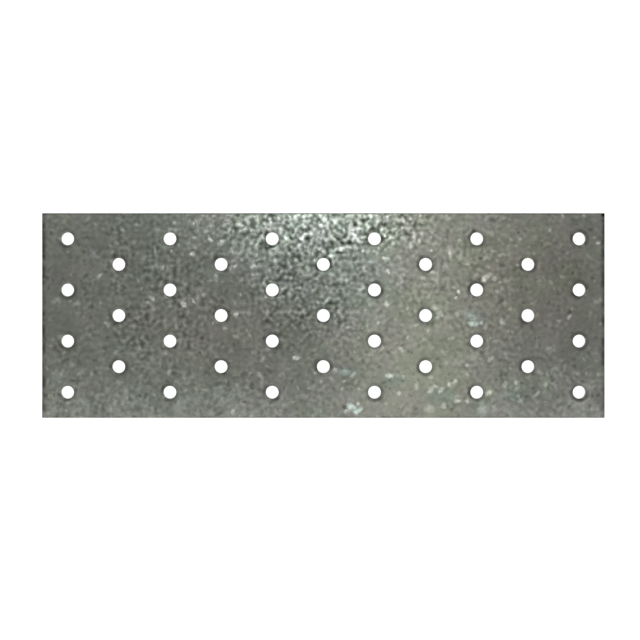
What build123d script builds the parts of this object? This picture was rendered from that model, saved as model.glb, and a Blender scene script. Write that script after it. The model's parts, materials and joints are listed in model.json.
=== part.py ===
"""Perforated mending plate of galvanised steel sheet, in millimetres.

One flat piece, cropped from slit strip and nailed across a timber joint. Its nail holes stand in
staggered rows: a long row, then a short row set half a pitch along, with a long row at each side.

Frame: the back face, which lies on the timber, is Z = 0, and the punched front face looks along +Z.
+X runs along the plate and the origin is the middle of the back face.

Every edge is a shear cut. Going down from the front face it has three zones: a roll, where the blade
or punch drew the sheet down; a land, which is square to the faces; and a break, where the metal tore
and the cut opens out towards the back.
"""

from build123d import *
import os

# Nail holes
HOLE_DIAMETER = 5.0
HOLE_PITCH = 40.0  # between neighbours in one row
ROW_PITCH = 10.0  # between one row and the next
LONG_ROW_HOLES = 6
LONG_ROWS = 4
END_DISTANCE = 10.0  # from the middle of a long row's last hole to the end of the plate
SIDE_DISTANCE = 10.0  # from the middle of an outer row to the side of the plate

# Sheet
THICKNESS = 2.0

# Shear cuts: the size of each roll, then shares that hold for every cut
HOLE_ROLL = 0.30
END_ROLL = 0.45
SIDE_ROLL = 0.20
LAND_SHARE = 0.60  # the land's share of the height below the roll
BREAK_OPENING_SHARE = 0.05  # how far the break has opened at the back face, by the sheet's thickness

# Worked out from the values above
LENGTH = (LONG_ROW_HOLES - 1) * HOLE_PITCH + 2 * END_DISTANCE
WIDTH = 2 * (LONG_ROWS - 1) * ROW_PITCH + 2 * SIDE_DISTANCE
BREAK_OPENING = BREAK_OPENING_SHARE * THICKNESS
PUNCH_OVERRUN = THICKNESS  # how far the punch reaches past each face


def shear_zones(roll):
    """Heights where the land starts and ends. The roll above it takes at most half the sheet."""
    land_top = THICKNESS - min(roll, THICKNESS / 2)
    return (1 - LAND_SHARE) * land_top, land_top


def cut_section(span, roll):
    """Cross-section of the sheet, span wide, with a shear cut at each side. Drawn in X and Y."""
    land_bottom, land_top = shear_zones(roll)
    rolled_in = THICKNESS - land_top
    half = span / 2
    with BuildSketch() as section:
        with BuildLine():
            back = Line((0, 0), (half - BREAK_OPENING, 0))
            torn = Line(back @ 1, (half, land_bottom))
            land = Line(torn @ 1, (half, land_top))
            rolled = RadiusArc(land @ 1, (half - rolled_in, THICKNESS), -rolled_in)
            Line(rolled @ 1, (0, THICKNESS))
            mirror(about=Plane.YZ)
        make_face()
    return section.sketch


def make_blank():
    """The strip before punching, slit along both sides and cropped at both ends."""
    slit = extrude(Plane.YZ * cut_section(WIDTH, SIDE_ROLL), LENGTH / 2, both=True)
    cropped = extrude(Plane.XZ * cut_section(LENGTH, END_ROLL), WIDTH / 2, both=True)
    return slit & cropped


def make_punched_hole():
    """What one punch takes away, on the Z axis. The many small rolls are plain slopes, not arcs."""
    land_bottom, land_top = shear_zones(HOLE_ROLL)
    radius = HOLE_DIAMETER / 2
    exit_radius = radius + BREAK_OPENING
    rim_radius = radius + THICKNESS - land_top
    bottom, top = -PUNCH_OVERRUN, THICKNESS + PUNCH_OVERRUN
    with BuildSketch(Plane.XZ) as half_section:
        with BuildLine():
            Polyline(
                (0, bottom),
                (exit_radius, bottom),
                (exit_radius, 0),
                (radius, land_bottom),
                (radius, land_top),
                (rim_radius, THICKNESS),
                (rim_radius, top),
                (0, top),
                close=True,
            )
        make_face()
    return revolve(half_section.sketch, Axis.Z)


def hole_places():
    """The staggered grid: the long rows, and the short rows between them."""
    long_rows = GridLocations(HOLE_PITCH, 2 * ROW_PITCH, LONG_ROW_HOLES, LONG_ROWS)
    short_rows = GridLocations(HOLE_PITCH, 2 * ROW_PITCH, LONG_ROW_HOLES - 1, LONG_ROWS - 1)
    return list(long_rows) + list(short_rows)


def make_plate():
    """The whole plate: the blank with a hole punched at every place of the grid."""
    punched_hole = make_punched_hole()
    return make_blank() - [place * punched_hole for place in hole_places()]


os.makedirs("parts", exist_ok=True)
export_step(make_plate(), "parts/mending_plate.step")
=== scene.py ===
"""A galvanised mending plate lying on a white ground, seen from straight above.

Everything is in metres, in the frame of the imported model: the plate's back face is Z = 0, its punched
front face looks up along +Z, and +X runs along its length.
"""

import json
import math
from types import SimpleNamespace

import bmesh
import bpy
from mathutils import Matrix, Vector


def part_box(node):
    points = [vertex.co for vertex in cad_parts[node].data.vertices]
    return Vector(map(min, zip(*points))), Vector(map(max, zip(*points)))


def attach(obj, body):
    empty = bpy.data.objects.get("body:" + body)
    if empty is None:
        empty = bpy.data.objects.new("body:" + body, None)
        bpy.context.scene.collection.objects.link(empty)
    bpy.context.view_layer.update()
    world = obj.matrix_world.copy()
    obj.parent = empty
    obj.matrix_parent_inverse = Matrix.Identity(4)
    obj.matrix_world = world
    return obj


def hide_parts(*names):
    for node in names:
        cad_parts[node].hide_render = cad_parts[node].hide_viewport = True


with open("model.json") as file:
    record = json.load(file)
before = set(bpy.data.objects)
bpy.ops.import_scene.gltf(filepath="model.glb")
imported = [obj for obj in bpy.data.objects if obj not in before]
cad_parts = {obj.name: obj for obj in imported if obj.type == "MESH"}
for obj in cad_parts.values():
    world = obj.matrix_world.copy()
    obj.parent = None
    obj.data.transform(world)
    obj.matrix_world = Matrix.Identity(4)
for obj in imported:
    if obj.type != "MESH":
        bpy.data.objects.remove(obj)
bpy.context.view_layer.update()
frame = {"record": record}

MM = 0.001

# The plate, from the frame
NODE = "mending_plate"
LOW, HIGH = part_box(NODE)
HALF_LENGTH = (HIGH.x - LOW.x) / 2
HALF_WIDTH = (HIGH.y - LOW.y) / 2
THICKNESS = HIGH.z - LOW.z
MOUNT_SIZES = {mount["name"]: mount["dims"] for mount in frame["record"]["mounts"]}
CENTRE_HOLES = MOUNT_SIZES["inner_long_rows_centre_holes"]  # two neighbours in each inner long row
HOLE_RADIUS = CENTRE_HOLES["hole_r_mm"] * MM
HOLE_PITCH = CENTRE_HOLES["spacing_x_mm"] * MM
ROW_PITCH = CENTRE_HOLES["spacing_y_mm"] / 2 * MM
LONG_ROWS = 4  # with a short row between each two

# Shear cuts: how deep each roll goes, as in the part's source, and how far it spreads on the front
HOLE_ROLL = (0.30 * MM, 1.30 * MM)
END_ROLL = (0.45 * MM, 1.00 * MM)
SIDE_ROLL = (0.20 * MM, 0.50 * MM)
LAND_SHARE = 0.60
BREAK_OPENING = 0.05 * THICKNESS

# Mesh
LONG_SIDE_PARTS = 20  # one cell's outline is divided so that cells half a pitch apart meet
SHORT_SIDE_PARTS = 4
HOLE_SEGMENTS = 2 * (LONG_SIDE_PARTS + SHORT_SIDE_PARTS)
SPARE_COLUMNS = 2  # of cells, cropped off at the ends
ROLL_STEPS = 6
BREAK_STEPS = (1, 0.6, 0.3, 0)  # heights of a break's loops, as shares of the land's lower edge
FLAT_RING = 0.15 * MM  # flat metal kept next to each roll, so that the face shades flat
MERGE_DISTANCE = 0.01 * MM
HEIGHT_DIGITS = 6  # loops whose heights agree to a micrometre are one loop
TEAR = 0.03 * MM  # how far the torn part of a cut wanders
TEAR_SEED = 4
SMOOTH_ANGLE = math.radians(30)


# ---------------------------------------------------------------------------------------------
# Modelling
# ---------------------------------------------------------------------------------------------

def select_where(piece, kind, test):
    """In edit mode, selects only the vertices, edges or faces for which test is true."""
    mesh = bmesh.from_edit_mesh(piece.data)
    for elements in (mesh.faces, mesh.edges, mesh.verts):
        for element in elements:
            element.select = False
    for element in getattr(mesh, kind):
        if test(element):
            element.select_set(True)
    mesh.select_flush_mode()
    bmesh.update_edit_mesh(piece.data)


def select_mode(kind):
    """Sets edit mode to vertices, edges or faces."""
    bpy.ops.mesh.select_mode(type={"verts": "VERT", "edges": "EDGE", "faces": "FACE"}[kind])


def near(a, b):
    """True if two lengths are the same to a hundredth of a millimetre."""
    return abs(a - b) < MERGE_DISTANCE


def land_bottom(roll):
    """Height where the break ends and the land begins."""
    depth, _ = roll
    return (1 - LAND_SHARE) * (THICKNESS - depth)


def cut_inset(height, roll):
    """How far a shear cut stands back from its land at that height."""
    depth, spread = roll
    above_land = (height - (THICKNESS - depth)) / depth
    if above_land > 0:
        return spread * (1 - math.sqrt(max(1 - above_land**2, 0)))
    return BREAK_OPENING * max(1 - height / land_bottom(roll), 0)


def roll_heights(roll):
    """Heights down a roll, from the front face to the land."""
    depth, _ = roll
    turns = [math.pi / 2 * step / ROLL_STEPS for step in range(ROLL_STEPS + 1)]
    return [THICKNESS - depth * (1 - math.cos(turn)) for turn in turns]


def break_heights(roll):
    """Heights down a break, from the land to the back face."""
    return [land_bottom(roll) * share for share in BREAK_STEPS]


def model_cell():
    """One cell of the grid: both faces of the sheet round one punched hole, and the hole's wall."""
    heights = break_heights(HOLE_ROLL)[::-1] + roll_heights(HOLE_ROLL)[::-1]
    radii = [HOLE_RADIUS + cut_inset(height, HOLE_ROLL) for height in heights]
    bpy.ops.mesh.primitive_circle_add(vertices=HOLE_SEGMENTS, radius=radii[0], location=(0, 0, 0))
    cell = bpy.context.object
    bpy.ops.object.mode_set(mode="EDIT")
    select_mode("edges")
    steps = list(zip(radii, heights)) + [(radii[-1] + FLAT_RING, THICKNESS)]
    for (radius, height), (next_radius, next_height) in zip(steps, steps[1:]):
        bpy.ops.mesh.extrude_edges_move(
            TRANSFORM_OT_translate={"value": (0, 0, next_height - height)}
        )
        growth = next_radius / radius
        bpy.ops.transform.resize(value=(growth, growth, 1), center_override=(0, 0, 0))
    for height, ring_radius in ((THICKNESS, steps[-1][0]), (0, radii[0])):
        add_sheet_round_hole(cell, height, ring_radius)
    bpy.ops.object.mode_set(mode="OBJECT")
    return cell


def add_sheet_round_hole(cell, height, ring_radius):
    """Fills one face of the cell, from the ring round its hole to its outline.

    The outline is bridged from a little above, because a bridge between level loops can turn over.
    """
    raised = height + ROW_PITCH
    bpy.ops.mesh.select_all(action="DESELECT")
    bpy.ops.mesh.primitive_plane_add(size=1, location=(0, 0, raised))
    bpy.ops.transform.resize(value=(HOLE_PITCH, ROW_PITCH, 1), center_override=(0, 0, raised))
    select_mode("faces")
    bpy.ops.mesh.delete(type="ONLY_FACE")
    select_mode("edges")

    def on_side(edge, across, distance):
        start, end = (vertex.co for vertex in edge.verts)
        level = near(start.z, raised) and near(end.z, raised)
        return level and near(abs(start[across]), distance) and near(start[across], end[across])

    def on_long_side(edge):
        return on_side(edge, 1, ROW_PITCH / 2)

    def on_short_side(edge):
        return on_side(edge, 0, HOLE_PITCH / 2)

    def on_outline(edge):
        return on_long_side(edge) or on_short_side(edge)

    def on_ring(edge):
        return all(near(v.co.z, height) and near(v.co.xy.length, ring_radius) for v in edge.verts)

    for on_these, parts in ((on_long_side, LONG_SIDE_PARTS), (on_short_side, SHORT_SIDE_PARTS)):
        select_where(cell, "edges", on_these)
        bpy.ops.mesh.subdivide(number_cuts=parts - 1)
    select_where(cell, "edges", lambda edge: on_outline(edge) or on_ring(edge))
    bpy.ops.mesh.bridge_edge_loops()
    select_where(cell, "edges", on_outline)
    bpy.ops.transform.translate(value=(0, 0, height - raised))


def join(pieces, name):
    """Joins pieces into the first and gives it a name."""
    bpy.ops.object.select_all(action="DESELECT")
    for piece in pieces:
        piece.select_set(True)
    bpy.context.view_layer.objects.active = pieces[0]
    bpy.ops.object.join()
    pieces[0].name = name
    return pieces[0]


def repeat(piece, count, step):
    """Repeats a piece in a straight line."""
    bpy.context.view_layer.objects.active = piece
    row = piece.modifiers.new("row", "ARRAY")
    row.count = count
    row.use_relative_offset = False
    row.use_constant_offset = True
    row.constant_offset_displace = step
    bpy.ops.object.modifier_apply(modifier=row.name)


def move(piece, offset):
    """Moves a piece's mesh and leaves its object at the origin."""
    bpy.ops.object.select_all(action="DESELECT")
    piece.select_set(True)
    bpy.context.view_layer.objects.active = piece
    bpy.ops.transform.translate(value=offset)
    bpy.ops.object.transform_apply(location=True, rotation=False, scale=False)


def lay_out_grid():
    """The staggered grid of cells, still larger than the plate."""
    columns = round(2 * HALF_LENGTH / HOLE_PITCH) + SPARE_COLUMNS
    first_row = -(LONG_ROWS - 1) * ROW_PITCH
    long_cell = model_cell()
    short_cell = long_cell.copy()
    short_cell.data = long_cell.data.copy()
    bpy.context.collection.objects.link(short_cell)
    first_column = -(columns - 1) / 2 * HOLE_PITCH
    move(long_cell, (first_column + HOLE_PITCH / 2, first_row, 0))
    move(short_cell, (first_column, first_row + ROW_PITCH, 0))
    for cell, rows in ((long_cell, LONG_ROWS), (short_cell, LONG_ROWS - 1)):
        repeat(cell, columns, (HOLE_PITCH, 0, 0))
        repeat(cell, rows, (0, 2 * ROW_PITCH, 0))
    grid = join([long_cell, short_cell], "galvanised_plate")
    bpy.ops.object.mode_set(mode="EDIT")
    bpy.ops.mesh.select_all(action="SELECT")
    bpy.ops.mesh.remove_doubles(threshold=MERGE_DISTANCE)
    return grid


def crop_grid(grid, half_length, half_width):
    """Crops the grid's ends and lets out its long sides, to the flat part of the front face."""
    for side in (-1, 1):
        bpy.ops.mesh.select_all(action="SELECT")
        bpy.ops.mesh.bisect(
            plane_co=(side * half_length, 0, 0), plane_no=(side, 0, 0), clear_outer=True
        )
    grid_side = LONG_ROWS * ROW_PITCH - ROW_PITCH / 2
    for side in (-1, 1):
        select_where(
            grid, "edges", lambda e: all(near(v.co.y, side * grid_side) for v in e.verts)
        )
        bpy.ops.mesh.extrude_edges_move(
            TRANSFORM_OT_translate={"value": (0, side * (half_width - grid_side), 0)}
        )


def wall_heights():
    """Every height at which the outer cut needs a loop, from the front face to the back."""
    heights = set()
    for roll in (END_ROLL, SIDE_ROLL):
        heights.update(round(h, HEIGHT_DIGITS) for h in roll_heights(roll) + break_heights(roll))
    return sorted(heights, reverse=True)


def outline_at(height):
    """Half length and half width of the plate's outline at that height."""
    return HALF_LENGTH - cut_inset(height, END_ROLL), HALF_WIDTH - cut_inset(height, SIDE_ROLL)


def add_outer_cut(plate, half_length, half_width):
    """Takes the front face's outline down round the roll, the land and the break, to the back face."""

    def on_outline(edge, height):
        level = all(near(v.co.z, height) for v in edge.verts)
        ends = all(near(abs(v.co.x), half_length) for v in edge.verts)
        sides = all(near(abs(v.co.y), half_width) for v in edge.verts)
        return level and edge.is_boundary and (ends or sides)

    select_where(plate, "edges", lambda e: on_outline(e, THICKNESS))
    length, width, last = half_length, half_width, THICKNESS
    for height in wall_heights():
        next_length, next_width = outline_at(height)
        bpy.ops.mesh.extrude_edges_move(TRANSFORM_OT_translate={"value": (0, 0, height - last)})
        bpy.ops.transform.resize(
            value=(next_length / length, next_width / width, 1), center_override=(0, 0, 0)
        )
        length, width, last = next_length, next_width, height

    def on_cut_end(edge):
        return edge.is_boundary and all(near(v.co.z, 0) for v in edge.verts)

    select_where(plate, "edges", on_cut_end)
    bpy.ops.mesh.bridge_edge_loops()


def tear_breaks(plate):
    """Roughens the broken part of every cut, between the land and the back face."""
    lowest_land = land_bottom(END_ROLL)
    select_where(
        plate, "verts", lambda v: MERGE_DISTANCE < v.co.z < lowest_land - MERGE_DISTANCE
    )
    bpy.ops.transform.vertex_random(offset=TEAR, seed=TEAR_SEED)


def model_plate():
    """The whole plate as one closed mesh."""
    half_length = HALF_LENGTH - END_ROLL[1] - FLAT_RING
    half_width = HALF_WIDTH - SIDE_ROLL[1] - FLAT_RING
    plate = lay_out_grid()
    select_mode("edges")
    crop_grid(plate, half_length, half_width)
    add_outer_cut(plate, half_length, half_width)
    tear_breaks(plate)
    bpy.ops.mesh.select_all(action="SELECT")
    bpy.ops.mesh.normals_make_consistent(inside=False)
    bpy.ops.object.mode_set(mode="OBJECT")
    bpy.ops.object.select_all(action="DESELECT")
    plate.select_set(True)
    bpy.ops.object.shade_smooth_by_angle(angle=SMOOTH_ANGLE)
    return plate


# ---------------------------------------------------------------------------------------------
# Finishes
# ---------------------------------------------------------------------------------------------

# Sockets of a Mix node that mixes colours
MIX_FACTOR, MIX_FIRST, MIX_SECOND, MIX_RESULT = 0, 6, 7, 2

# Detail of a noise: how many finer layers lie on its blotches
SMOOTH, SOFT, ROUGH, RAW = 0, 1, 2, 3

STROKE_CORE = 0.25  # the share of a stroke's half size over which it is at its full strength


class Shading:
    """A material's nodes, with short calls for the nodes that the finishes need."""

    def __init__(self, name):
        self.material = bpy.data.materials.new(name)
        self.material.use_nodes = True
        self.tree = self.material.node_tree
        self.tree.nodes.clear()

    def add(self, kind, inputs=(), **settings):
        """Adds a node, sets its settings, and links or sets its inputs."""
        node = self.tree.nodes.new("ShaderNode" + kind)
        for key, value in settings.items():
            setattr(node, key, value)
        for key, value in dict(inputs).items():
            self.feed(node, key, value)
        return node

    def feed(self, node, key, value):
        """Links an input to another node's output, or sets it to a plain value."""
        if isinstance(value, bpy.types.NodeSocket):
            self.tree.links.new(value, node.inputs[key])
        else:
            node.inputs[key].default_value = value

    def math(self, operation, *values):
        """A number worked out from numbers."""
        return self.add("Math", enumerate(values), operation=operation).outputs[0]

    def vector(self, operation, *values):
        """A vector or colour worked out from vectors or colours."""
        return self.add("VectorMath", enumerate(values), operation=operation).outputs["Vector"]

    def length(self, vector):
        """How long a vector is."""
        return self.add("VectorMath", {0: vector}, operation="LENGTH").outputs["Value"]

    def distance(self, start, end):
        """How far apart two places are."""
        return self.add("VectorMath", {0: start, 1: end}, operation="DISTANCE").outputs["Value"]

    def scaled(self, vector, factor):
        """A vector or colour times a number."""
        node = self.add("VectorMath", {"Vector": vector, "Scale": factor}, operation="SCALE")
        return node.outputs["Vector"]

    def turned(self, vector, angle):
        """A vector turned about Z."""
        node = self.add("VectorRotate", {"Vector": vector, "Angle": angle}, rotation_type="Z_AXIS")
        return node.outputs[0]

    def fade(self, value, start, end, low=0.0, high=1.0):
        """low up to start, high from end, and a smooth change between them."""
        sockets = {"Value": value, "From Min": start, "From Max": end, "To Min": low, "To Max": high}
        return self.add("MapRange", sockets, interpolation_type="SMOOTHSTEP").outputs["Result"]

    def mix(self, factor, first, second):
        """The first colour where factor is 0, the second where it is 1."""
        sockets = {MIX_FACTOR: factor, MIX_FIRST: first, MIX_SECOND: second}
        return self.add("Mix", sockets, data_type="RGBA").outputs[MIX_RESULT]

    def split(self, value, kind="XYZ"):
        """The three parts of a vector or a colour."""
        return self.add("Separate" + kind, {0: value}).outputs[:3]

    def noise(self, where, blotch_size, detail):
        """Soft noise with blotches about that large: a share in Fac, three of them in Color."""
        sockets = {"Vector": where, "Scale": 1 / blotch_size, "Detail": detail}
        return self.add("TexNoise", sockets).outputs

    def cells(self, where, cell_size):
        """Cells about that large, each with its own middle and random colour."""
        sockets = {"Vector": where, "Scale": 1 / cell_size}
        return self.add("TexVoronoi", sockets, voronoi_dimensions="2D").outputs

    def centred(self, colour, spread):
        """A random colour as a random vector about zero, level with the sheet."""
        away = self.vector("SUBTRACT", colour, (0.5, 0.5, 0.5))
        return self.vector("MULTIPLY", away, (spread, spread, 0))

    def strokes(self, where, spacing, length, width, share):
        """Short strokes, each turned its own way: how strong they are, and a colour of each one's own."""
        cell = self.cells(where, spacing)
        own = self.split(cell["Color"], "Color")
        local = self.vector("SUBTRACT", where, cell["Position"])
        turned = self.turned(local, self.math("MULTIPLY", own[0], math.pi))
        shape = self.vector("MULTIPLY", turned, (2 / length, 2 / width, 0))
        inside = self.fade(self.length(shape), STROKE_CORE, 1.0, 1.0, 0.0)
        strength = self.fade(own[1], 1 - share, 1.0)
        return self.math("MULTIPLY", inside, strength), cell["Color"]

    def finish(self, shader):
        """Puts the shader on the surface and hands over the material."""
        self.add("OutputMaterial", {"Surface": shader.outputs[0]})
        return self.material


# Zinc coat. Sizes on it are in millimetres. A fade is: start, end, value up to the start, value from
# the end. Where it has no values, they are 0 and 1.

# Its colours
NO_TINT = (1, 1, 1)
MOTTLE_VIOLET = (0.2046, 0.2079, 0.1868)
MOTTLE_OLIVE = (0.1970, 0.2110, 0.1780)
MOTTLE_HUE = (0.43, 0.57)
GRAIN_GREEN = (0.94, 1.0, 0.96)
GRAIN_BLUE = (1.0, 1.0, 1.03)
GRAIN_HUE = (0.3, 0.7)
# Pale crystals of the zinc, partly painted glints
CRYSTAL_AND_GLINT_WHITE = (0.75, 0.77, 0.71)
CRYSTAL_AND_GLINT_CYAN = (0.60, 0.74, 0.68)

# Its patterns: how large their blotches are, and how far those that bend another pattern reach
WARP_SIZE, WARP_REACH = 3.0, 1.0
RAGGED_SIZE, RAGGED_REACH = 1.4, 1.3
GRAIN_SIZE = 1.8
SPANGLE_SIZE = 1.5
SAND_SIZE = 0.32
MOTTLE_SIZE = 13.0
PATCH_SIZE = 7.0
SHADE_PATCH_SIZE = 5.0
FACET_SIZE = 1.5

# How far apart two patterns of one kind are taken, so that their blotches differ
APART = {
    "grain tone": (41, 23, 0),
    "broad strokes": (31, 17, 0),
    "patches": (11, 57, 0),
    "dots": (7, 3, 0),
    "specks": (19, 47, 0),
    "facets": (5, 61, 0),
    "shade": (3, 71, 0),
}

# Strokes, dots of painted glint, and specks: spacing, length, width, and the share of them that shows
FINE_STROKES = (2.8, 2.5, 1.6, 0.7)
BROAD_STROKES = (4.6, 3.9, 2.4, 0.7)
GLINT_DOTS = (2.1, 1.7, 1.3, 1.0)
SPECKS = (3.0, 1.5, 1.0, 0.7)

# How far each pattern tilts the surface
GRAIN_TILT = 0.11
SPANGLE_TILT = 0.025
SAND_TILT = 0.08
STROKE_TILT = 0.05

# How light each pattern makes the coat, as fades: of its own random value, to a factor ...
MOTTLE_TONE = (0.35, 0.65, 0.94, 1.08)
SPANGLE_TONE = (0.0, 1.0, 0.96, 1.04)
SAND_TONE = (0.3, 0.7, 0.94, 1.06)

# ... and to a change, which is 0 where it leaves the coat alone
STROKE_CHANGE = (0.15, 1.0, -0.34, 0.66)
GLINT_DOT_CHANGE = (0.2, 0.8, -0.50, 0.75)

# What changes from the quiet parts of the coat to those where the grain stands out, as fades of how much
# it stands out. These lie mostly under the lamps' glare, where the grain's stronger contrast is partly
# painted glint and the painted shade by the cuts is weaker
GRAIN_CONTRAST = (0.0, 1.0, 0.50, 3.25)
WEAK_PATCH_CONTRAST = (0.0, 1.0, 0.4, 0.8)
STRONG_PATCH_CONTRAST = (0.0, 1.0, 1.5, 1.2)
SPECK_CHANGE = (0.0, 1.0, -0.12, -0.35)
SHADE_SHARE = (0.3, 1.0, 1.0, 0.45)

# Patches: the values of their noise between which one kind turns into the other
PATCH_EDGE = (0.36, 0.64)

# Where the grain stands out most, mostly under the lamps' glare, so partly painted glint: place, length,
# width, how much
LIVELY_GLARE_PATCHES = (
    (0, 34, 96, 34, 1.0),
    (-6, 14, 72, 60, 0.66),
    (-66, 10, 76, 90, 0.38),
    (42, 12, 54, 60, 0.26),
)

# Where the dots of painted glint show, under the long lamp's glare: place, length, width
GLARE_DOTTED_PATCH = (0, 36, 100, 36)

# Painted shade and grime beside the cuts: how far from the cut it starts to fade, where it ends, and its
# darkest tone
HOLE_SHADE = (0.75, 1.75, 0.62)
END_SHADE = (0.8, 2.1, 0.55)
SIDE_SHADE = (0.15, 0.85, 0.68)
UNEVEN_SHADE = (*PATCH_EDGE, 0.45, 1.4)

# Soft tints of the coat, and two grey washes of painted shade: place, length, width, colour
WASHES = (
    (-46, -6, 60, 44, (1.05, 1.00, 1.01)),
    (42, -4, 64, 100, (1.00, 1.00, 0.98)),
    (-4, 22, 80, 50, (0.98, 1.00, 1.02)),
    (84, 16, 60, 64, (1.04, 1.00, 0.965)),
    (18, 10, 34, 44, (0.965, 1.00, 1.01)),
    (60, -24, 70, 40, (0.985, 1.00, 0.985)),
    # Painted shade: these two grey washes dim the long lamp's glare at the top edge
    (20, 37, 26, 14, (0.87, 0.87, 0.87)),
    (-15, 37, 16, 12, (0.90, 0.90, 0.90)),
    (28, -25, 13, 6, (0.93, 1.00, 1.03)),
    (9, -22, 12, 5, (0.92, 1.00, 1.04)),
    (60, -1, 12, 8, (0.93, 1.00, 1.02)),
    (46, -31, 14, 8, (0.90, 1.00, 1.02)),
    (74, -31, 8, 7, (0.93, 0.98, 1.00)),
)

# Where a wash starts to fade and where it ends, as shares of its half size
WASH_CORE, WASH_REACH = 0.3, 1.2

# Lean of a mark on the coat: its turn in degrees, and its width as a share of its length
LEANS = {
    "round": (0, 1.0),
    "level": (0, 0.60),
    "rising": (45, 0.60),
    "upright": (90, 0.60),
    "falling": (-45, 0.60),
}

# Where a mark starts to fade and where it ends, as shares of its length
MARK_CORE, MARK_REACH = 0.12, 0.74

# Pale crystals of the zinc, partly painted glints, by lean: place, length, how pale
WHITE_CRYSTALS_AND_GLINTS = {
    "round": (
        (31.2, -23.8, 1.5, 0.45), (8.6, -37.5, 1.9, 0.5), (49.2, -27.0, 2.0, 0.55),
        (29.6, -30.5, 1.9, 0.55), (18.3, -15.2, 1.9, 0.3), (42.0, -24.2, 1.7, 0.28),
        (56.1, -33.4, 1.7, 0.65), (47.0, -35.4, 2.3, 0.55), (41.6, -36.4, 3.5, 0.3),
        (75.0, -26.2, 1.7, 0.6), (76.8, -33.1, 1.9, 0.28), (69.6, -2.4, 2.6, 0.68),
        (67.0, 14.4, 2.0, 0.45), (64.9, 16.0, 1.6, 0.3), (52.8, 9.3, 1.5, 0.85),
        (51.9, 6.8, 1.4, 0.88), (46.2, 0.4, 1.6, 0.6), (67.6, 9.4, 1.7, 0.35),
        (66.2, 25.2, 1.5, 0.28), (53.0, 29.3, 1.6, 0.6), (65.2, 32.2, 2.5, 0.3),
        (70.8, 38.0, 1.6, 0.35), (76.8, 30.0, 1.7, 0.45), (107.2, 28.2, 1.7, 0.75),
        (92.2, 22.4, 1.5, 0.22), (-34.2, 0.4, 2.0, 1.25), (43.2, 2.9, 2.4, 0.48),
        (45.2, 0.8, 2.4, 0.52), (6.9, 25.8, 1.9, 0.68), (0.4, 37.6, 2.0, 0.9),
        (24.2, 31.2, 1.5, 1.05), (22.9, 33.8, 1.6, 0.35), (30.8, 37.9, 1.5, 0.35),
        (34.0, 37.8, 1.5, 0.6), (42.5, 16.9, 1.7, 0.45), (38.9, 14.7, 1.7, 0.55),
        (42.2, 25.2, 1.6, 0.68), (28.8, 12.4, 1.5, 0.3), (-39.2, 29.2, 1.7, 0.7),
        (-51.2, 24.1, 2.2, 0.7), (-50.1, 26.5, 1.6, 0.4), (-58.0, 36.1, 1.7, 0.45),
        (-37.0, 37.3, 1.6, 0.6), (-42.0, 15.6, 1.6, 0.4), (-46.8, 8.0, 1.6, 0.4),
        (-66.9, 11.6, 1.5, 0.3), (-35.3, -37.5, 1.9, 0.5), (-38.6, -5.0, 1.7, 0.7),
        (-36.0, -13.6, 1.8, 0.2), (-54.2, -24.8, 1.6, 0.25), (-81.0, -14.3, 1.5, 0.25),
    ),
    "level": (
        (25.8, -23.5, 3.3, 0.75), (43.6, -27.7, 2.4, 0.36), (58.4, -16.4, 3.9, 0.2),
        (52.6, -33.4, 2.6, 0.78), (69.4, 23.7, 3.2, 0.38), (56.1, 20.0, 2.0, 0.4),
        (49.0, 25.6, 2.4, 0.22), (48.6, 37.8, 2.8, 0.25), (92.0, -2.0, 2.5, 0.34),
        (-66.5, 2.3, 2.2, 0.45), (11.2, 33.8, 3.6, 0.54), (23.6, 22.6, 2.0, 0.75),
        (-10.7, -16.6, 3.0, 1.25),
    ),
    "rising": (
        (42.0, -28.9, 3.3, 0.6), (45.9, -29.2, 3.1, 0.6), (51.2, -26.0, 3.0, 0.5),
        (36.6, -28.4, 2.2, 0.28), (39.0, -9.4, 2.4, 0.22), (65.4, -17.2, 2.8, 0.55),
        (64.6, -30.2, 3.2, 0.65), (70.9, -27.0, 3.2, 0.4), (75.2, -28.8, 2.7, 0.3),
        (83.4, -30.6, 2.5, 0.42), (63.3, 22.8, 2.7, 0.45), (82.4, 30.6, 3.0, 0.18),
        (96.2, -0.4, 2.5, 0.65), (63.2, 14.5, 3.4, 0.9), (-68.9, 5.2, 1.7, 0.4),
        (40.9, 7.3, 2.4, 0.35),
    ),
    "upright": (
        (48.0, -18.2, 2.6, 0.2), (53.8, 24.2, 2.2, 0.25), (24.9, 4.5, 2.7, 0.62),
        (34.0, 27.1, 2.6, 0.4), (37.6, 29.0, 2.1, 0.55),
    ),
    "falling": (
        (30.4, -13.3, 2.7, 0.55), (47.0, -14.4, 2.8, 0.28), (88.8, 13.0, 2.5, 0.24),
        (-66.9, 6.7, 3.0, 1.1), (-67.4, 9.0, 1.9, 0.2), (-44.3, 29.5, 2.2, 0.75),
        (-49.6, 36.4, 2.6, 0.3), (25.2, 17.2, 2.2, 0.8), (-24.9, -23.2, 3.0, 0.35),
        (-28.8, -7.6, 2.0, 0.3), (-54.6, 4.4, 3.2, 1.25), (-50.6, 5.6, 2.3, 0.8),
        (-104.0, -21.6, 2.3, 0.3),
    ),
}
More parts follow.
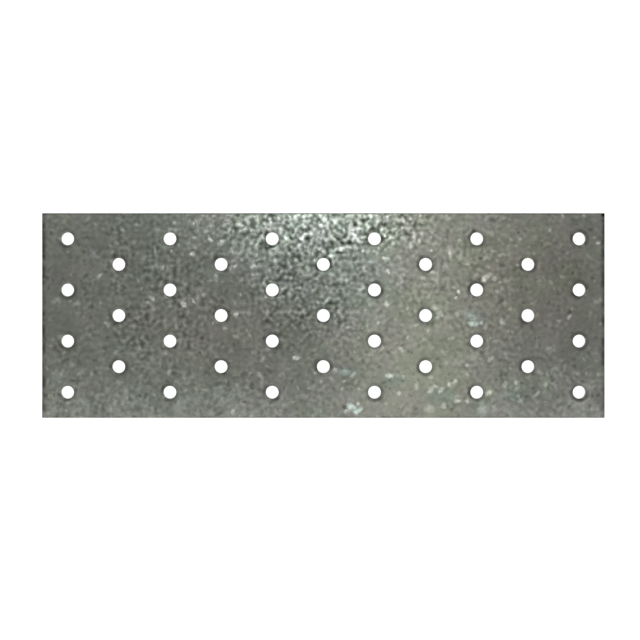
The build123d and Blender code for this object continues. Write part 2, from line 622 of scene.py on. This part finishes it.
# Cyan crystals of the zinc, partly painted glints, by lean: place, length, how pale
CYAN_CRYSTALS_AND_GLINTS = {
    "round": ((13.4, -34.8, 1.4, 0.95), (61.6, -3.0, 1.9, 0.72)),
    "level": ((8.5, -22.2, 4.5, 0.42), (58.6, -3.2, 3.8, 0.85)),
    "rising": ((11.6, -22.9, 2.6, 0.5), (13.9, -37.0, 3.2, 0.9), (9.0, -37.2, 1.8, 0.6)),
    "upright": ((62.0, -36.6, 5.8, 0.35),),
    "falling": ((11.0, -35.8, 4.2, 0.9), (12.4, -37.7, 2.8, 0.95), (58.0, -0.6, 4.6, 0.43)),
}
FACET_COVER = (0.35, 0.6, 0.50, 0.80)  # how much of a crystal its facets let show, as a fade

# Dark pits, by lean: place, length, how dark
PITS = {
    "round": (
        (48.3, -35.6, 1.4, 0.4), (76.2, 32.4, 1.3, 0.35), (96.4, 1.4, 1.1, 0.35),
        (109.4, 39.4, 1.7, 0.9),
    ),
    "level": ((77.5, -26.4, 2.2, 0.4), (104.4, 33.6, 2.8, 0.4)),
    "rising": ((31.0, -11.6, 2.0, 0.3), (77.8, -29.8, 2.4, 0.3)),
}

# Which way the surface looks, as fades of how far it faces up: the front, and the cuts
FACING_FRONT = (0.2, 0.6)
FACING_ASIDE = (0.35, 0.55, 1.0, 0.0)

# How dull each part is, and between which distances from a hole the roll turns into the flat coat
ZINC_ROUGHNESS = 0.20
ROLL_ROUGHNESS = 0.45
LAND_ROUGHNESS = 0.28
TORN_ROUGHNESS = 0.60
ROLL_DULLNESS = (0.2, 1.6, ROLL_ROUGHNESS, ZINC_ROUGHNESS)

# Bare steel of the cuts
BRIGHT_STEEL = (0.34, 0.34, 0.32)
TORN_STEEL = (0.12, 0.12, 0.115)
STREAK_SIZE = 0.22
STREAK_STRETCH = 0.06  # of the heights, so that the streaks run down the cut
STREAK_TONE = (0.25, 0.75, 0.7, 1.3)
TEAR_SIZE = 0.30
TEAR_TONE = (0.3, 0.7, 0.6, 1.4)
RAGGED_EDGE = 0.50  # how far the streaks shift the edges between coat, land and break
TORN_EDGE_SOFTNESS = 0.06
ZINC_DRAG = 0.15  # how far the punch drags the coat down the cut
ZINC_EDGE_SOFTNESS = 0.1


def opaque(colour):
    """A colour as a colour socket takes it."""
    return (*colour, 1)


def apart(s, place, pattern):
    """The place where a pattern is taken from, apart from the others of its kind."""
    return s.vector("ADD", place, APART[pattern])


def changed(s, tone, cover, change):
    """A tone made lighter or darker by that change where cover is 1."""
    return s.math("MULTIPLY", tone, s.math("MULTIPLY_ADD", cover, change, 1.0))


def marks(s, place, by_lean):
    """Soft marks on the coat: the strength of the strongest at each point."""
    strongest = 0.0
    for lean, group in by_lean.items():
        degrees, narrow = LEANS[lean]
        angle = -math.radians(degrees)
        stretch = Vector((1, 1 / narrow, 0))
        stretched = s.vector("MULTIPLY", s.turned(place, angle), stretch)
        for x, y, length, strength in group:
            middle = Matrix.Rotation(angle, 3, "Z") @ Vector((x, y, 0)) * stretch
            away = s.distance(stretched, middle)
            mark = s.fade(away, MARK_CORE * length, MARK_REACH * length, strength, 0.0)
            strongest = s.math("MAXIMUM", strongest, mark)
    return strongest


def wash(s, place, x, y, length, width):
    """A wide soft patch, 1 in its middle."""
    local = s.vector("SUBTRACT", place, (x, y, 0))
    shape = s.vector("MULTIPLY", local, (2 / length, 2 / width, 0))
    return s.fade(s.length(shape), WASH_CORE, WASH_REACH, 1.0, 0.0)


def distance_from_hole(s, place):
    """Distance in millimetres from the wall of the nearest hole."""
    pitch, row = HOLE_PITCH / MM, ROW_PITCH / MM
    along, across, _ = s.split(place)
    long_x = s.math("PINGPONG", s.math("SUBTRACT", along, pitch / 2), pitch / 2)
    long_y = s.math("PINGPONG", s.math("SUBTRACT", across, row), row)
    short_x = s.math("PINGPONG", along, pitch / 2)
    past_last_row = s.math("SUBTRACT", s.math("ABSOLUTE", across), (LONG_ROWS - 1) * row)
    short_y = s.math("MAXIMUM", s.math("PINGPONG", across, row), past_last_row)
    middles = [
        s.length(s.add("CombineXYZ", {0: x, 1: y}).outputs[0])
        for x, y in ((long_x, long_y), (short_x, short_y))
    ]
    return s.math("SUBTRACT", s.math("MINIMUM", *middles), HOLE_RADIUS / MM)


def shade_beside_cuts(s, place, from_hole, share):
    """The painted shade and grime next to the holes, the ends and the sides, as a factor of the tone."""
    along, across, _ = s.split(place)
    from_end = s.math("SUBTRACT", HALF_LENGTH / MM, s.math("ABSOLUTE", along))
    from_side = s.math("SUBTRACT", HALF_WIDTH / MM, s.math("ABSOLUTE", across))
    shade = 1.0
    for distance, (start, end, dark) in (
        (from_hole, HOLE_SHADE), (from_end, END_SHADE), (from_side, SIDE_SHADE)
    ):
        shade = s.math("MULTIPLY", shade, s.fade(distance, start, end, dark, 1.0))
    uneven = s.noise(apart(s, place, "shade"), SHADE_PATCH_SIZE, SOFT)["Fac"]
    share = s.math("MULTIPLY", share, s.fade(uneven, *UNEVEN_SHADE))
    return s.math("MULTIPLY_ADD", s.math("SUBTRACT", shade, 1.0), share, 1.0)


def liveliness_in_glare(s, place, front):
    """How much the grain stands out, partly as painted glint under the lamps' glare: 0 where the coat is
    quiet, and all over the back.
    """
    lively_glare = 0.0
    for *area, share in LIVELY_GLARE_PATCHES:
        patch = s.math("MULTIPLY", wash(s, place, *area), share)
        lively_glare = s.math("MAXIMUM", lively_glare, patch)
    return s.math("MULTIPLY", lively_glare, front)


def coat_patterns(s, place):
    """The fine patterns of the coat, which its tone, its hue and its tilt share."""
    warp = s.centred(s.noise(place, WARP_SIZE, SMOOTH)["Color"], WARP_REACH)
    wandering = s.vector("ADD", place, warp)
    return SimpleNamespace(
        grain=s.noise(wandering, GRAIN_SIZE, SMOOTH)["Color"],
        grain_value=s.noise(apart(s, place, "grain tone"), GRAIN_SIZE, SMOOTH)["Fac"],
        spangle=s.cells(wandering, SPANGLE_SIZE)["Color"],
        mottle=s.split(s.noise(place, MOTTLE_SIZE, ROUGH)["Color"], "Color"),
        sand=s.noise(place, SAND_SIZE, SOFT),
        strokes=(
            s.strokes(wandering, *FINE_STROKES),
            s.strokes(apart(s, wandering, "broad strokes"), *BROAD_STROKES),
        ),
    )


def grain_tone(s, place, lively_glare, grain_value):
    """Light and dark grains, in patches of more and less contrast; the strongest contrast, under the
    lamps' glare, is partly painted glint.
    """
    patchy = s.noise(apart(s, place, "patches"), PATCH_SIZE, SOFT)["Fac"]
    low, high = s.fade(lively_glare, *WEAK_PATCH_CONTRAST), s.fade(lively_glare, *STRONG_PATCH_CONTRAST)
    contrast = s.math(
        "MULTIPLY", s.fade(lively_glare, *GRAIN_CONTRAST), s.fade(patchy, *PATCH_EDGE, low, high)
    )
    away = s.math("SUBTRACT", grain_value, 0.5)
    root = s.math("MULTIPLY_ADD", away, s.math("MULTIPLY", contrast, 0.5), 1.0)
    return s.math("POWER", root, 2.0)


def coat_tone(s, place, front, from_hole, lively_glare, pattern):
    """Light and dark of the coat, as a factor of its colour, with its painted shade and painted glints.
    """
    tone = grain_tone(s, place, lively_glare, pattern.grain_value)
    tone = s.math("MULTIPLY", tone, s.fade(pattern.mottle[0], *MOTTLE_TONE))
    spangle_value = s.split(pattern.spangle, "Color")[2]
    tone = s.math("MULTIPLY", tone, s.fade(spangle_value, *SPANGLE_TONE))
    for stroke, own in pattern.strokes:
        tone = changed(s, tone, stroke, s.fade(s.split(own, "Color")[2], *STROKE_CHANGE))
    # Dots of painted glint, lighter and darker, under the long lamp's glare
    glint_dot, glint_dot_own = s.strokes(apart(s, place, "dots"), *GLINT_DOTS)
    glint_dot = s.math("MULTIPLY", glint_dot, s.math("MULTIPLY", wash(s, place, *GLARE_DOTTED_PATCH), front))
    tone = changed(s, tone, glint_dot, s.fade(s.split(glint_dot_own, "Color")[2], *GLINT_DOT_CHANGE))
    # Painted shade and grime beside the cuts, weaker where the lamps' glare falls
    shade_share = s.math("MULTIPLY", front, s.fade(lively_glare, *SHADE_SHARE))
    tone = s.math("MULTIPLY", tone, shade_beside_cuts(s, place, from_hole, shade_share))
    speck, _ = s.strokes(apart(s, place, "specks"), *SPECKS)
    tone = changed(s, tone, speck, s.fade(lively_glare, *SPECK_CHANGE))
    pits = s.math("MULTIPLY", marks(s, place, PITS), front)
    return s.math("MULTIPLY", tone, s.math("SUBTRACT", 1.0, pits))


def coat_hue(s, place, front, lively_glare, pattern):
    """Colour of the coat at a middling tone: mottles, soft tints with two grey washes of painted shade,
    and each grain's own hint.
    """
    warmth = s.fade(pattern.mottle[1], *MOTTLE_HUE)
    hue = s.mix(warmth, opaque(MOTTLE_VIOLET), opaque(MOTTLE_OLIVE))
    for *area, tint in WASHES:
        cover = s.math("MULTIPLY", wash(s, place, *area), front)
        hue = s.vector("MULTIPLY", hue, s.mix(cover, opaque(NO_TINT), opaque(tint)))
    grain_hue = s.fade(pattern.grain_value, *GRAIN_HUE)
    grain_tint = s.mix(grain_hue, opaque(GRAIN_GREEN), opaque(GRAIN_BLUE))
    return s.vector("MULTIPLY", hue, s.mix(lively_glare, opaque(NO_TINT), grain_tint))


def add_pale_crystals_and_glints(s, place, front, colour):
    """The coat's colour with the pale crystals, partly painted glints, on the front face."""
    wander = s.centred(s.noise(place, RAGGED_SIZE, SOFT)["Color"], RAGGED_REACH)
    ragged = s.vector("ADD", place, wander)
    facets = s.noise(apart(s, place, "facets"), FACET_SIZE, SOFT)["Fac"]
    cover = s.math("MULTIPLY", front, s.fade(facets, *FACET_COVER))
    for crystals, pale in ((WHITE_CRYSTALS_AND_GLINTS, CRYSTAL_AND_GLINT_WHITE), (CYAN_CRYSTALS_AND_GLINTS, CRYSTAL_AND_GLINT_CYAN)):
        share = s.math("MULTIPLY", marks(s, ragged, crystals), cover)
        colour = s.mix(share, colour, opaque(pale))
    return colour


def coat_colour(s, place, front, from_hole, pattern):
    """Colour of the zinc coat."""
    lively_glare = liveliness_in_glare(s, place, front)
    tone = coat_tone(s, place, front, from_hole, lively_glare, pattern)
    colour = s.scaled(coat_hue(s, place, front, lively_glare, pattern), tone)
    colour = add_pale_crystals_and_glints(s, place, front, colour)
    return s.scaled(colour, s.fade(pattern.sand["Fac"], *SAND_TONE))


def coat_tilt(s, pattern):
    """How the zinc coat leans at each point, as a small level vector."""
    tilt = s.vector(
        "ADD", s.centred(pattern.grain, GRAIN_TILT), s.centred(pattern.spangle, SPANGLE_TILT)
    )
    tilt = s.vector("ADD", tilt, s.centred(pattern.sand["Color"], SAND_TILT))
    for strength, own in pattern.strokes:
        tilt = s.vector("ADD", tilt, s.scaled(s.centred(own, STROKE_TILT), strength))
    return tilt


def bare_cut(s, place):
    """The punched or sheared cut: bright land above, torn break below.

    Gives its colour, its roughness, and the height shifted by the streaks, for ragged edges.
    """
    upright = s.vector("MULTIPLY", place, (1, 1, STREAK_STRETCH))
    streak = s.noise(upright, STREAK_SIZE, ROUGH)["Fac"]
    tear = s.noise(place, TEAR_SIZE, RAW)["Fac"]
    ragged = s.math("MULTIPLY_ADD", s.math("SUBTRACT", streak, 0.5), RAGGED_EDGE, s.split(place)[2])
    edge = land_bottom(HOLE_ROLL) / MM
    torn = s.fade(ragged, edge - TORN_EDGE_SOFTNESS, edge + TORN_EDGE_SOFTNESS, 1.0, 0.0)
    land_colour = s.scaled(BRIGHT_STEEL, s.fade(streak, *STREAK_TONE))
    torn_colour = s.scaled(TORN_STEEL, s.fade(tear, *TEAR_TONE))
    roughness = s.math("MULTIPLY_ADD", torn, TORN_ROUGHNESS - LAND_ROUGHNESS, LAND_ROUGHNESS)
    return s.mix(torn, land_colour, torn_colour), roughness, ragged


def galvanised_steel():
    """Zinc coat with a fine crystal grain, and bare steel on the punched and sheared cuts."""
    s = Shading("zinc_coat")
    coordinates = s.add("TexCoord").outputs
    place = s.scaled(coordinates["Object"], 1 / MM)
    facing = s.split(coordinates["Normal"])[2]
    front = s.fade(facing, *FACING_FRONT)
    from_hole = distance_from_hole(s, place)
    pattern = coat_patterns(s, place)
    coat = coat_colour(s, place, front, from_hole, pattern)

    cut_colour, cut_roughness, ragged = bare_cut(s, place)
    zinc_end = (THICKNESS - HOLE_ROLL[0]) / MM - ZINC_DRAG
    below_zinc = s.fade(
        ragged, zinc_end - ZINC_EDGE_SOFTNESS, zinc_end + ZINC_EDGE_SOFTNESS, 1.0, 0.0
    )
    on_cut = s.fade(s.math("ABSOLUTE", facing), *FACING_ASIDE)
    on_cut = s.math("MULTIPLY", on_cut, below_zinc)

    coat_roughness = s.fade(from_hole, *ROLL_DULLNESS)
    difference = s.math("SUBTRACT", cut_roughness, coat_roughness)
    tilt = s.scaled(coat_tilt(s, pattern), s.math("SUBTRACT", 1.0, on_cut))
    normal = s.vector("ADD", s.add("NewGeometry").outputs["Normal"], tilt)
    shader = s.add(
        "BsdfPrincipled",
        {
            "Base Color": s.mix(on_cut, coat, cut_colour),
            "Metallic": 1.0,
            "Roughness": s.math("MULTIPLY_ADD", on_cut, difference, coat_roughness),
            "Normal": s.vector("NORMALIZE", normal),
        },
    )
    return s.finish(shader)


GROUND_PAINT = (0.8, 0.8, 0.8)
GROUND_GLOW = 0.7  # added where the camera or a mirror sees the lit paint, so that it is pure white


def white_ground():
    """White ground that takes the plate's shadow and shows pure white where it is lit."""
    s = Shading("white_ground")
    path = s.add("LightPath").outputs
    seen = s.math("MAXIMUM", path["Is Camera Ray"], path["Is Glossy Ray"])
    seen = s.math("MAXIMUM", seen, path["Is Transmission Ray"])
    strength = s.math("MULTIPLY", seen, GROUND_GLOW)
    paint = s.add("BsdfDiffuse", {"Color": opaque(GROUND_PAINT)})
    glow = s.add("Emission", {"Color": opaque(NO_TINT), "Strength": strength})
    return s.finish(s.add("AddShader", {0: paint.outputs[0], 1: glow.outputs[0]}))


# ---------------------------------------------------------------------------------------------
# Studio
# ---------------------------------------------------------------------------------------------

CAMERA_HEIGHT = 450 * MM  # above the plate's front face
CAMERA_ASIDE = (-1.32 * MM, -1.75 * MM)
PLATE_SHARE_OF_FRAME = 0.880
NEAREST_SEEN = 10 * MM
GROUND_SIZE = 8.0
GROUND_GAP = 0.02 * MM

# How bright the room is, by the height of the direction: 0 at the horizon, 1 straight up
ROOM = ((0.0, 0.95), (0.25, 0.95), (0.50, 0.80), (0.72, 0.48), (0.90, 0.54), (0.97, 0.67))

# Lamps that face straight down: place, length and width in millimetres, how bright, colour, shape
LAMP_HEIGHT = 350 * MM
LAMPS = {
    "long_lamp": ((-7, 85), (124, 50), 3.0, (0.95, 1.0, 1.02), "ELLIPSE"),
    "strip_lamp": ((67, 0), (91, 700), 0.71, (0.99, 0.95, 0.87), "RECTANGLE"),
    "window": ((0, -206), (900, 287), 0.68, (0.97, 1.0, 1.02), "RECTANGLE"),
    "far_window": ((0, 208), (900, 284), 0.20, (0.93, 1.0, 1.03), "RECTANGLE"),
}


def add_camera():
    """A camera looking straight down, with the top of the frame towards +Y."""
    data = bpy.data.cameras.new("camera")
    camera = bpy.data.objects.new("camera", data)
    bpy.context.collection.objects.link(camera)
    camera.location = (*CAMERA_ASIDE, THICKNESS + CAMERA_HEIGHT)
    frame_width = 2 * HALF_LENGTH / PLATE_SHARE_OF_FRAME
    data.lens = data.sensor_width * CAMERA_HEIGHT / frame_width
    data.clip_start = NEAREST_SEEN
    bpy.context.scene.camera = camera


def add_ground():
    """A wide floor just under the plate."""
    bpy.ops.object.select_all(action="DESELECT")
    bpy.ops.mesh.primitive_plane_add(size=GROUND_SIZE, location=(0, 0, LOW.z - GROUND_GAP))
    ground = bpy.context.object
    ground.name = "ground"
    ground.data.materials.append(white_ground())


def add_lamp(name, place, size, radiance, colour, shape):
    """A lamp that faces straight down and looks that bright."""
    data = bpy.data.lights.new(name, "AREA")
    data.shape = shape
    data.size, data.size_y = (side * MM for side in size)
    area = data.size * data.size_y * (math.pi / 4 if shape == "ELLIPSE" else 1)
    data.energy = radiance * math.pi * area
    data.color = colour
    lamp = bpy.data.objects.new(name, data)
    bpy.context.collection.objects.link(lamp)
    lamp.location = (place[0] * MM, place[1] * MM, LAMP_HEIGHT)


def light_room():
    """A soft room, darker between the ceiling and the walls."""
    world = bpy.data.worlds.new("soft_room")
    bpy.context.scene.world = world
    world.use_nodes = True
    nodes, links = world.node_tree.nodes, world.node_tree.links
    direction = nodes.new("ShaderNodeTexCoord").outputs["Generated"]
    split = nodes.new("ShaderNodeSeparateXYZ")
    links.new(direction, split.inputs[0])
    ramp = nodes.new("ShaderNodeValToRGB")
    stops = ramp.color_ramp.elements
    while len(stops) < len(ROOM):
        stops.new(position=0.5)  # each gets its place below
    for stop, (position, brightness) in zip(stops, ROOM):
        stop.position = position
        stop.color = (brightness, brightness, brightness, 1)
    links.new(split.outputs["Z"], ramp.inputs[0])
    links.new(ramp.outputs["Color"], nodes["Background"].inputs["Color"])
    nodes["Background"].inputs["Strength"].default_value = 1.0


# ---------------------------------------------------------------------------------------------
# Scene
# ---------------------------------------------------------------------------------------------

def main():
    """The studio, and the plate in it."""
    add_camera()
    add_ground()
    light_room()
    for name, settings in LAMPS.items():
        add_lamp(name, *settings)
    bpy.ops.object.select_all(action="DESELECT")
    plate = model_plate()
    plate.data.materials.clear()
    plate.data.materials.append(galvanised_steel())
    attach(plate, "root")
    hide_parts(NODE)
    bpy.context.scene.view_settings.view_transform = "Standard"


main()
